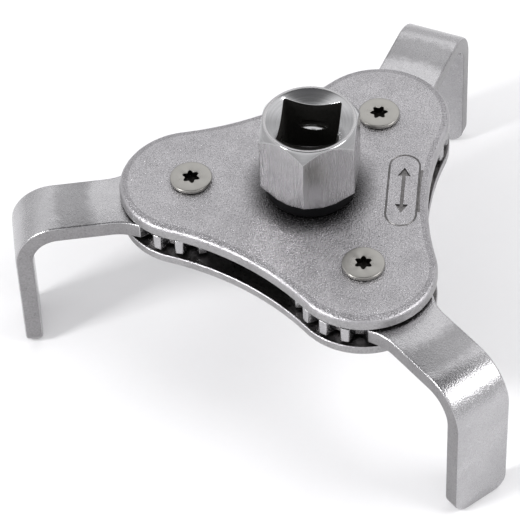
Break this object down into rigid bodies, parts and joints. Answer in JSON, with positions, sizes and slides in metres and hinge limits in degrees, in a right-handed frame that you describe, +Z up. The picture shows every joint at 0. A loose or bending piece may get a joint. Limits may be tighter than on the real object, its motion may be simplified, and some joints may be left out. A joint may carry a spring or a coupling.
{
  "type": "oil filter wrench",
  "caption": "Geared oil filter wrench: hooked jaws on toothed roots pivot between lobed steel plates, driven together by a central hexagon with a square socket.",
  "frame": {"origin": "centre of the square socket's floor, on the drive axis", "axes": "+Z up along the drive axis, out of the socket; -Y points out of the front pivot's lobe, and the other two lobes are at 30 and 150 degrees from +X"},
  "size_m": [0.1229, 0.1152, 0.062],
  "materials": {
    "plate_steel": "satin nickel-plated stamped steel",
    "arm_steel": "satin nickel-plated forged steel",
    "drive_steel": "fine brushed, bright plated machined steel",
    "gear_steel": "plated machined steel, lightly greased",
    "screw_steel": "warm grey plated steel",
    "sleeve_steel": "plated steel",
    "washer_steel": "plain rolled steel",
    "ring_steel": "black phosphated spring steel",
    "black_nylon": "matt black nylon"
  },
  "bodies": {
    "plates": {"top_plate": "plate_steel", "bottom_plate": "plate_steel", "pivot_screw_front": "screw_steel", "pivot_sleeve_front": "sleeve_steel", "upper_washer_front": "washer_steel", "lower_washer_front": "washer_steel", "pivot_screw_right": "screw_steel", "pivot_sleeve_right": "sleeve_steel", "upper_washer_right": "washer_steel", "lower_washer_right": "washer_steel", "pivot_screw_left": "screw_steel", "pivot_sleeve_left": "sleeve_steel", "upper_washer_left": "washer_steel", "lower_washer_left": "washer_steel"},
    "drive": {"drive_socket": "drive_steel", "sun_gear": "gear_steel", "drive_collar": "black_nylon", "thrust_washer": "washer_steel", "retaining_ring": "ring_steel"},
    "jaw_front": {"jaw_arm_front": "arm_steel"},
    "jaw_right": {"jaw_arm_right": "arm_steel"},
    "jaw_left": {"jaw_arm_left": "arm_steel"}
  },
  "joints": [
    {"name": "drive_turn", "type": "hinge", "parent": "plates", "child": "drive", "pos_m": [0, 0, 0], "axis": [0, 0, 1], "range_deg": [-119.7, 151.5]},
    {"name": "jaw_front_swing", "type": "hinge", "parent": "plates", "child": "jaw_front", "pos_m": [0, -0.027, 0], "axis": [0, 0, 1], "range_deg": [-122.9, 97.1]},
    {"name": "jaw_right_swing", "type": "hinge", "parent": "plates", "child": "jaw_right", "pos_m": [0.02338, 0.0135, 0], "axis": [0, 0, 1], "range_deg": [-122.9, 97.1]},
    {"name": "jaw_left_swing", "type": "hinge", "parent": "plates", "child": "jaw_left", "pos_m": [-0.02338, 0.0135, 0], "axis": [0, 0, 1], "range_deg": [-122.9, 97.1]}
  ],
  "couplings": [
    {"joint": "jaw_front_swing", "follows": "drive_turn", "ratio": -0.81081},
    {"joint": "jaw_right_swing", "follows": "drive_turn", "ratio": -0.81081},
    {"joint": "jaw_left_swing", "follows": "drive_turn", "ratio": -0.81081}
  ]
}
